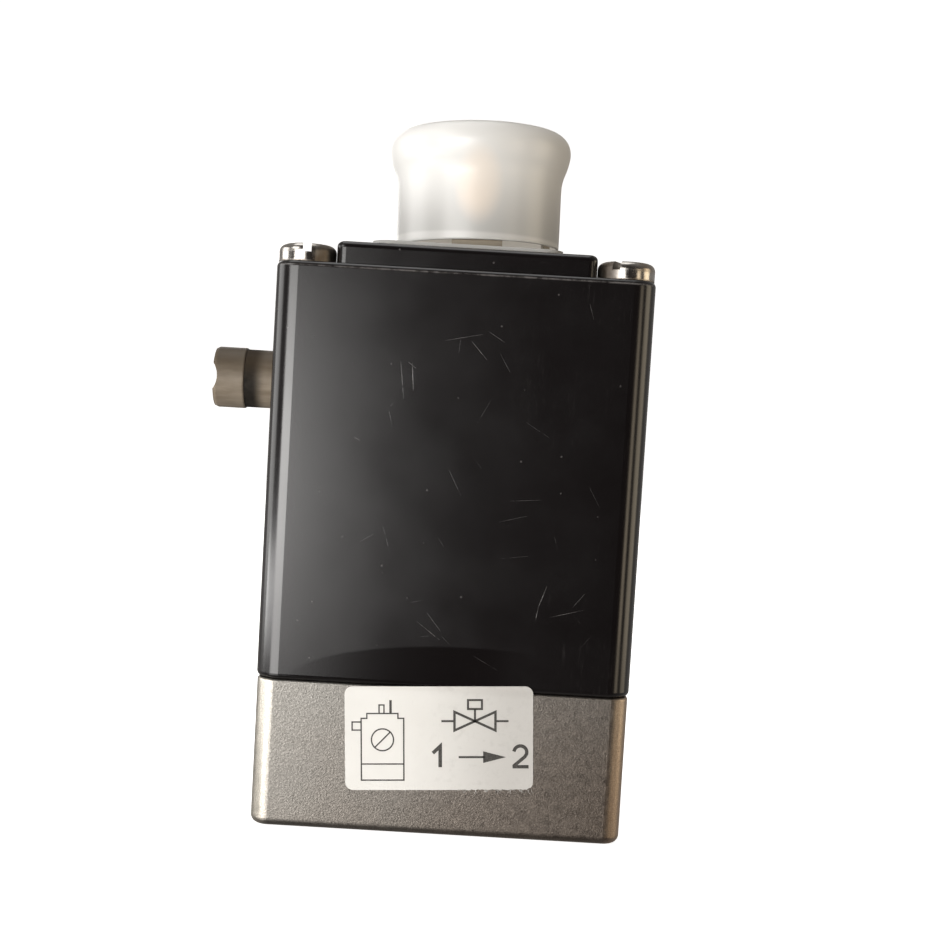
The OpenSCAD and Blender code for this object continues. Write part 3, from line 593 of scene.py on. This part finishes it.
ports = {m["name"]: m for m in frame["record"]["mounts"]}
port_z = ports["inlet_port"]["pos_m"][2] / MM
port_r = ports["inlet_port"]["dims"]["r_mm"]
THREAD = turned_steel("cut_thread", (0.60, 0.585, 0.56), 0.24, axis=0, scale=5200)
for side, s in (("left", -1), ("right", 1)):
    t = helix(f"port_thread_{side}", port_r + 0.01, port_r - 0.42, 1.337, 13.05, 22.85, (0, 0, port_z), "x", s, THREAD, "valve", 84)
for k, s in enumerate((-1, 1)):
    fix = ports["base_bolts"]["dims"]
    t = helix(f"fixing_thread_{k}", fix["hole_r_mm"] + 0.01, fix["hole_r_mm"] - 0.16, 0.7, 0.05, 5.7, (0, s * fix["spacing_y_mm"] / 2, 0), "z", 1, THREAD, "valve", 40)


# ---------------------------------------------------------------- label

lo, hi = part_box("label")
LABEL_W, LABEL_H, LABEL_TILT = 23.0, 12.85, math.radians(3.4)
lab_c = (-0.07, hi.y / MM, 12.2)
face_y = hi.y / MM                       # front of the fluid body
hz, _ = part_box("coil_housing")
seam_z = hz.z / MM
proud_y = hz.y / MM                      # front of the housing
rnd = random.Random(3)


def on_label(a, b, lift=0.0):
    """Point a, b of the label's own plane, in mm, laid on the valve's front."""
    X = lab_c[0] + a * math.cos(LABEL_TILT) - b * math.sin(LABEL_TILT)
    Z = lab_c[2] + a * math.sin(LABEL_TILT) + b * math.cos(LABEL_TILT)
    # above the seam the sheet bends out over the housing's lower edge
    over = max(0.0, min(1.0, (Z - (seam_z - 0.7)) / 1.3))
    over = over * over * (3 - 2 * over)
    Y = face_y - 0.02 - over * (face_y - proud_y + 0.03) - 0.035 * math.exp(-((a - 11.3) ** 2 + (b + 5.9) ** 2) / 1.5)
    return Vector((X, Y - lift, Z)) * MM


def label_sheet():
    na, nb, r = 92, 52, 1.0
    w, h = LABEL_W / 2, LABEL_H / 2
    t = 0.10
    grid = []
    for j in range(nb + 1):
        row = []
        for i in range(na + 1):
            a, b = -w + 2 * w * i / na, -h + 2 * h * j / nb
            # pull the corners in to their radius
            ex, ez = abs(a) - (w - r), abs(b) - (h - r)
            if ex > 0 and ez > 0:
                d = math.hypot(ex, ez)
                m = max(ex, ez)
                k = m / d
                a, b = math.copysign(w - r + ex * k, a), math.copysign(h - r + ez * k, b)
            if j == 0 and i > 55:
                b += rnd.uniform(-0.05, 0.10)
            if i == 0 or i == na:
                a += rnd.uniform(-0.015, 0.015)
            row.append((a, b))
        grid.append(row)
    verts, faces = [], []
    for lift in (0.0, t):
        for row in grid:
            for a, b in row:
                verts.append(on_label(a, b, lift))
    n = (na + 1) * (nb + 1)

    def at(i, j, k):
        return k * n + j * (na + 1) + i
    for j in range(nb):
        for i in range(na):
            faces.append((at(i, j, 1), at(i + 1, j, 1), at(i + 1, j + 1, 1), at(i, j + 1, 1)))
            faces.append((at(i, j, 0), at(i, j + 1, 0), at(i + 1, j + 1, 0), at(i + 1, j, 0)))
    for i in range(na):
        faces.append((at(i, 0, 0), at(i + 1, 0, 0), at(i + 1, 0, 1), at(i, 0, 1)))
        faces.append((at(i, nb, 0), at(i, nb, 1), at(i + 1, nb, 1), at(i + 1, nb, 0)))
    for j in range(nb):
        faces.append((at(0, j, 0), at(0, j, 1), at(0, j + 1, 1), at(0, j + 1, 0)))
        faces.append((at(na, j, 0), at(na, j + 1, 0), at(na, j + 1, 1), at(na, j, 1)))
    o = new_object("label_sheet", verts, faces, MATS["label_paper"], "valve", sharp_deg=50)
    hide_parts("label")
    return o


label_sheet()

ink_verts, ink_faces = [], []


def stroke(pts, width, closed=False, fill=False):
    """Printed line of even width through points of the label's plane."""
    lift0, lift1 = 0.095, 0.118
    if fill:
        base = len(ink_verts)
        for lift in (lift0, lift1):
            for p in pts:
                ink_verts.append(on_label(p[0], p[1], lift))
        n = len(pts)
        ink_faces.append(tuple(base + n + i for i in range(n)))
        ink_faces.append(tuple(base + i for i in reversed(range(n))))
        for i in range(n):
            j = (i + 1) % n
            ink_faces.append((base + i, base + j, base + n + j, base + n + i))
        return
    P = [Vector((p[0], p[1])) for p in pts]
    n = len(P)
    left, right = [], []
    for i in range(n):
        if closed:
            a, b = P[(i - 1) % n], P[(i + 1) % n]
            d1, d2 = (P[i] - a).normalized(), (b - P[i]).normalized()
        else:
            d1 = (P[i] - P[max(i - 1, 0)])
            d2 = (P[min(i + 1, n - 1)] - P[i])
            d1 = (d1 if d1.length > 1e-9 else d2).normalized()
            d2 = (d2 if d2.length > 1e-9 else d1).normalized()
        t = (d1 + d2)
        t = t.normalized() if t.length > 1e-6 else d1
        nrm = Vector((-t.y, t.x))
        k = width / 2 / max(0.35, nrm.dot(Vector((-d1.y, d1.x))))
        left.append(P[i] + nrm * k)
        right.append(P[i] - nrm * k)
    base = len(ink_verts)
    for lift in (lift0, lift1):
        for q in left + right:
            ink_verts.append(on_label(q.x, q.y, lift))
    N = 2 * n
    segs = n if closed else n - 1
    for i in range(segs):
        j = (i + 1) % n
        ink_faces.append((base + N + i, base + N + n + i, base + N + n + j, base + N + j))
        ink_faces.append((base + i, base + j, base + n + j, base + n + i))
        ink_faces.append((base + i, base + N + i, base + N + j, base + j))
        ink_faces.append((base + n + i, base + n + j, base + N + n + j, base + N + n + i))
    if not closed:
        for i in (0, n - 1):
            ink_faces.append((base + i, base + n + i, base + N + n + i, base + N + i))


def arc(cx, cy, r, a0, a1, n=14):
    return [(cx + r * math.cos(math.radians(a0 + (a1 - a0) * k / n)), cy + r * math.sin(math.radians(a0 + (a1 - a0) * k / n))) for k in range(n + 1)]


def subdivide(pts, step=0.8):
    out = [pts[0]]
    for p, q in zip(pts, pts[1:]):
        d = math.dist(p, q)
        m = max(1, int(d / step))
        out += [(p[0] + (q[0] - p[0]) * k / m, p[1] + (q[1] - p[1]) * k / m) for k in range(1, m + 1)]
    return out


# outline drawing of a valve: housing, lower block, override, contacts
LW = 0.17
px0, px1, pz0, pz1, pzs = -9.5, -4.3, -5.2, 2.9, -3.2
stroke(subdivide([(px0, pzs), (px0, pz1 - 0.45), (px0 + 0.7, pz1 - 0.45), (px0 + 0.7, pz1 + 0.15), (px1 - 0.7, pz1 + 0.15), (px1 - 0.7, pz1 - 0.45), (px1, pz1 - 0.45), (px1, pzs)]), LW)
stroke([(px0, pzs), (px0, pz0), (px1, pz0), (px1, pzs)], LW, closed=True)
stroke([(px0, 1.0), (px0 - 1.1, 1.0), (px0 - 1.1, 2.0), (px0, 2.0)], LW)
stroke([(-7.3, pz1 + 0.15), (-7.3, 4.1), (-6.7, 4.1), (-6.7, pz1 + 0.15)], LW)
stroke([(-5.9, pz1 + 0.15), (-5.9, 4.7)], 0.3)
stroke(arc(-6.9, -0.2, 1.35, 0, 360, 40)[:-1], LW, closed=True)
stroke([(-7.85, -1.15), (-5.95, 0.75)], LW)

# generic two-port valve symbol: two triangles meeting, with a coil box above
sx, sz = 4.4, 2.1
stroke([(sx - 2.5, sz - 1.15), (sx - 2.5, sz + 1.15), (sx, sz)], 0.30, closed=True)
stroke([(sx + 2.5, sz - 1.15), (sx + 2.5, sz + 1.15), (sx, sz)], 0.30, closed=True)
stroke([(sx, sz + 0.1), (sx, sz + 1.5)], 0.26)
stroke([(sx - 0.85, sz + 1.5), (sx + 0.85, sz + 1.5), (sx + 0.85, sz + 2.6), (sx - 0.85, sz + 2.6)], 0.26, closed=True)
stroke([(sx - 4.1, sz), (sx - 2.6, sz)], 0.26)
stroke([(sx + 2.6, sz), (sx + 4.1, sz)], 0.26)

# port numbers 1 and 2 with a flow arrow
nz = -3.6
stroke(subdivide([(-0.75, nz + 1.75), (0.15, nz + 2.6), (0.15, nz)]), 0.44)
stroke(subdivide([(2.4, nz + 1.25), (5.6, nz + 1.25)]), 0.26)
stroke([(5.4, nz + 1.98), (8.2, nz + 1.25), (5.4, nz + 0.52)], 0.1, fill=True)
stroke([(9.15, nz + 1.95)] + arc(9.95, nz + 1.86, 0.78, 160, -18, 14) + [(10.5, nz + 1.3), (9.2, nz + 0.2), (9.2, nz + 0.05)], 0.42)
stroke([(9.0, nz + 0.06), (10.95, nz + 0.06)], 0.42)

ink = new_object("label_print", ink_verts, ink_faces, INK, "valve", smooth=False)


def label_fibres():
    """Torn paper fibres along the lower right edge."""
    verts, faces = [], []
    for k in range(46):
        a = rnd.uniform(2.5, 11.4)
        b = -LABEL_H / 2 + rnd.uniform(-0.02, 0.05)
        l = rnd.uniform(0.15, 0.75)
        t = math.radians(rnd.uniform(-150, -25))
        w = rnd.uniform(0.012, 0.026)
        bend = rnd.uniform(-0.8, 0.8)
        base = len(verts)
        steps = 4
        for s in range(steps + 1):
            f = s / steps
            ang = t + bend * f
            pa, pb = a + math.cos(ang) * l * f, b + math.sin(ang) * l * f
            lift = 0.03 + 0.05 * f
            for q in range(4):
                dx, dy = w * (1 - 0.6 * f) * math.cos(q * math.pi / 2), w * (1 - 0.6 * f) * math.sin(q * math.pi / 2)
                verts.append(on_label(pa + dx * math.sin(ang), pb - dx * math.cos(ang), lift + dy))
        for s in range(steps):
            for q in range(4):
                r = (q + 1) % 4
                faces.append((base + s * 4 + q, base + s * 4 + r, base + (s + 1) * 4 + r, base + (s + 1) * 4 + q))
        faces.append((base, base + 1, base + 2, base + 3))
        faces.append((base + steps * 4 + 3, base + steps * 4 + 2, base + steps * 4 + 1, base + steps * 4))
    o = new_object("label_fibres", verts, faces, MATS["label_paper"], "valve")


label_fibres()


# ---------------------------------------------------------------- stage, light, camera

def plane_mesh(name, verts, faces, colour, glow):
    me = bpy.data.meshes.new(name)
    me.from_pydata(verts, [], faces)
    o = bpy.data.objects.new(name, me)
    bpy.context.scene.collection.objects.link(o)
    M = Mat(name)
    tone = M.noise(3.0, 2, 0.5)
    M.set(Base_Color=M.mix(tone, tuple(c * 0.985 for c in colour), colour), Roughness=0.9)
    M.bsdf.inputs["Specular IOR Level"].default_value = 0.0
    M.bsdf.inputs["Emission Color"].default_value = (*colour, 1)
    M.bsdf.inputs["Emission Strength"].default_value = glow
    me.materials.append(M.m)
    me.shade_smooth()
    return o


def cove():
    """Pale floor that sweeps up into a backdrop on every side, so that each view has the same ground."""
    verts, faces = [], []
    seg = 96
    prof = [(0.25, 0.0), (0.6, 0.0), (1.0, 0.0)]
    for k in range(1, 17):
        a = math.pi / 2 * k / 16
        prof.append((1.0 + 0.8 * math.sin(a), 0.8 * (1 - math.cos(a))))
    prof.append((1.8, 2.4))
    for r, z in prof:
        for s in range(seg):
            a = 2 * math.pi * s / seg
            verts.append((r * math.cos(a), r * math.sin(a), z - 0.00001))
    c = len(verts)
    verts.append((0, 0, -0.00001))
    for s in range(seg):
        faces.append((c, s, (s + 1) % seg))
    for k in range(len(prof) - 1):
        for s in range(seg):
            t = (s + 1) % seg
            faces.append((k * seg + s, (k + 1) * seg + s, (k + 1) * seg + t, k * seg + t))
    return plane_mesh("floor", verts, faces, (0.97, 0.97, 0.965), 0.88)


floor = cove()
for ray in ("visible_diffuse", "visible_glossy", "visible_transmission", "visible_shadow"):
    setattr(floor, ray, False)

world = bpy.data.worlds.new("studio")
bpy.context.scene.world = world
world.use_nodes = True
wt = world.node_tree
bg = wt.nodes["Background"]
wc = wt.nodes.new("ShaderNodeTexCoord")
ws = wt.nodes.new("ShaderNodeSeparateXYZ")
wr = wt.nodes.new("ShaderNodeValToRGB")
wm = wt.nodes.new("ShaderNodeMapRange")
wt.links.new(wc.outputs["Generated"], ws.inputs[0])
wt.links.new(ws.outputs[1], wm.inputs[0])
for k, v in enumerate((-1.0, 1.0, 0.0, 1.0), 1):
    wm.inputs[k].default_value = v
el = wr.color_ramp.elements
el[0].position, el[0].color = 0.0, (0.035, 0.030, 0.028, 1)
el[1].position, el[1].color = 0.55, (0.34, 0.325, 0.31, 1)
e = el.new(0.12)
e.color = (0.075, 0.066, 0.062, 1)
wt.links.new(wm.outputs[0], wr.inputs[0])
wt.links.new(wr.outputs[0], bg.inputs[0])
bg.inputs[1].default_value = 1.0


def area(name, loc, target, width, height, radiance, colour=(1, 1, 1), feather=None):
    """Soft box of a given radiance. feather = (left, right, bottom, top) shares of its width and height that fade out."""
    d = bpy.data.lights.new(name, "AREA")
    d.shape = "RECTANGLE"
    d.size = width
    d.size_y = height
    d.energy = radiance * math.pi * width * height
    d.color = colour
    o = bpy.data.objects.new(name, d)
    bpy.context.scene.collection.objects.link(o)
    o.location = loc
    o.rotation_mode = "QUATERNION"
    o.rotation_quaternion = (Vector(target) - Vector(loc)).to_track_quat("-Z", "Y")
    o.visible_camera = False
    if feather:
        d.use_nodes = True
        t = d.node_tree
        em = next(n for n in t.nodes if n.type == "EMISSION")
        geo = t.nodes.new("ShaderNodeNewGeometry")
        sep = t.nodes.new("ShaderNodeSeparateXYZ")
        t.links.new(geo.outputs["Parametric"], sep.inputs[0])
        total = None
        for axis, a, b in ((0, feather[0], feather[1]), (1, feather[2], feather[3])):
            for flip, share in ((False, a), (True, b)):
                if not share:
                    continue
                m = t.nodes.new("ShaderNodeMapRange")
                m.interpolation_type = "SMOOTHSTEP"
                t.links.new(sep.outputs[axis], m.inputs[0])
                for k, v in enumerate((1.0, 1.0 - share, 0.0, 1.0) if flip else (0.0, share, 0.0, 1.0), 1):
                    m.inputs[k].default_value = v
                if total is None:
                    total = m.outputs[0]
                else:
                    x = t.nodes.new("ShaderNodeMath")
                    x.operation = "MULTIPLY"
                    t.links.new(total, x.inputs[0])
                    t.links.new(m.outputs[0], x.inputs[1])
                    total = x.outputs[0]
        t.links.new(total, em.inputs["Strength"])
    return o


area("softbox_key", (-0.36, -0.71, 0.010), (0, 0, 0.045), 0.69, 0.52, 13.0, (1.0, 0.985, 0.965), (0.12, 0.27, 0.5, 0.5))
area("softbox_high", (-0.42, -0.36, 0.34), (0, 0, 0.06), 0.34, 0.30, 3.6, (1.0, 0.99, 0.975), (0.2, 0.2, 0.2, 0.2))
area("bounce_left", (-0.17, -0.24, -0.12), (-0.02, 0, 0.05), 0.22, 0.18, 2.2, (1.0, 0.985, 0.96))
area("softbox_left", (-0.60, 0.06, 0.12), (0, 0, 0.045), 0.45, 0.45, 3.0, (1.0, 0.99, 0.975), (0.2, 0.2, 0.2, 0.2))
area("low_left", (-0.17, -0.07, 0.010), (0, -0.012, 0.008), 0.13, 0.022, 9.0, (1.0, 0.99, 0.975))
area("softbox_top", (-0.12, 0.05, 0.80), (0, 0, 0.03), 0.7, 0.7, 1.8, (1.0, 1.0, 1.0), (0.2, 0.2, 0.2, 0.2))
area("fill_right", (0.50, -0.06, 0.08), (0, 0, 0.045), 0.30, 0.40, 2.4, (1.0, 0.85, 0.62), (0.2, 0.2, 0.2, 0.2))
area("softbox_rear", (-0.16, 0.80, 0.32), (0, 0, 0.04), 0.60, 0.50, 2.2, (1.0, 0.99, 0.975), (0.2, 0.2, 0.2, 0.2))
area("fill_front_right", (0.42, -0.40, 0.02), (0, 0, 0.03), 0.20, 0.34, 2.8, (1.0, 0.84, 0.62), (0.3, 0.3, 0.3, 0.3))

cam_data = bpy.data.cameras.new("camera")
cam = bpy.data.objects.new("camera", cam_data)
bpy.context.scene.collection.objects.link(cam)
bpy.context.scene.camera = cam
cam_data.sensor_width = 36.0
cam_data.lens = 55.61
cam_data.clip_start = 0.01
cam_data.clip_end = 20
cam_data.shift_x = 0.0195
cam_data.shift_y = 0.0636
roll, pitch = math.radians(3.34), math.radians(3.995)
forward = Vector((0, math.cos(pitch), -math.sin(pitch)))
level_up = Vector((0, math.sin(pitch), math.cos(pitch)))
right = Vector((1, 0, 0)) * math.cos(roll) + level_up * math.sin(roll)
up = Vector((-1, 0, 0)) * math.sin(roll) + level_up * math.cos(roll)
cam.matrix_world = Matrix(((right.x, up.x, -forward.x, 0.0), (right.y, up.y, -forward.y, -0.192), (right.z, up.z, -forward.z, 0.050), (0, 0, 0, 1)))

scene = bpy.context.scene
scene.view_settings.view_transform = "Standard"
scene.view_settings.look = "None"
scene.view_settings.exposure = 0.0
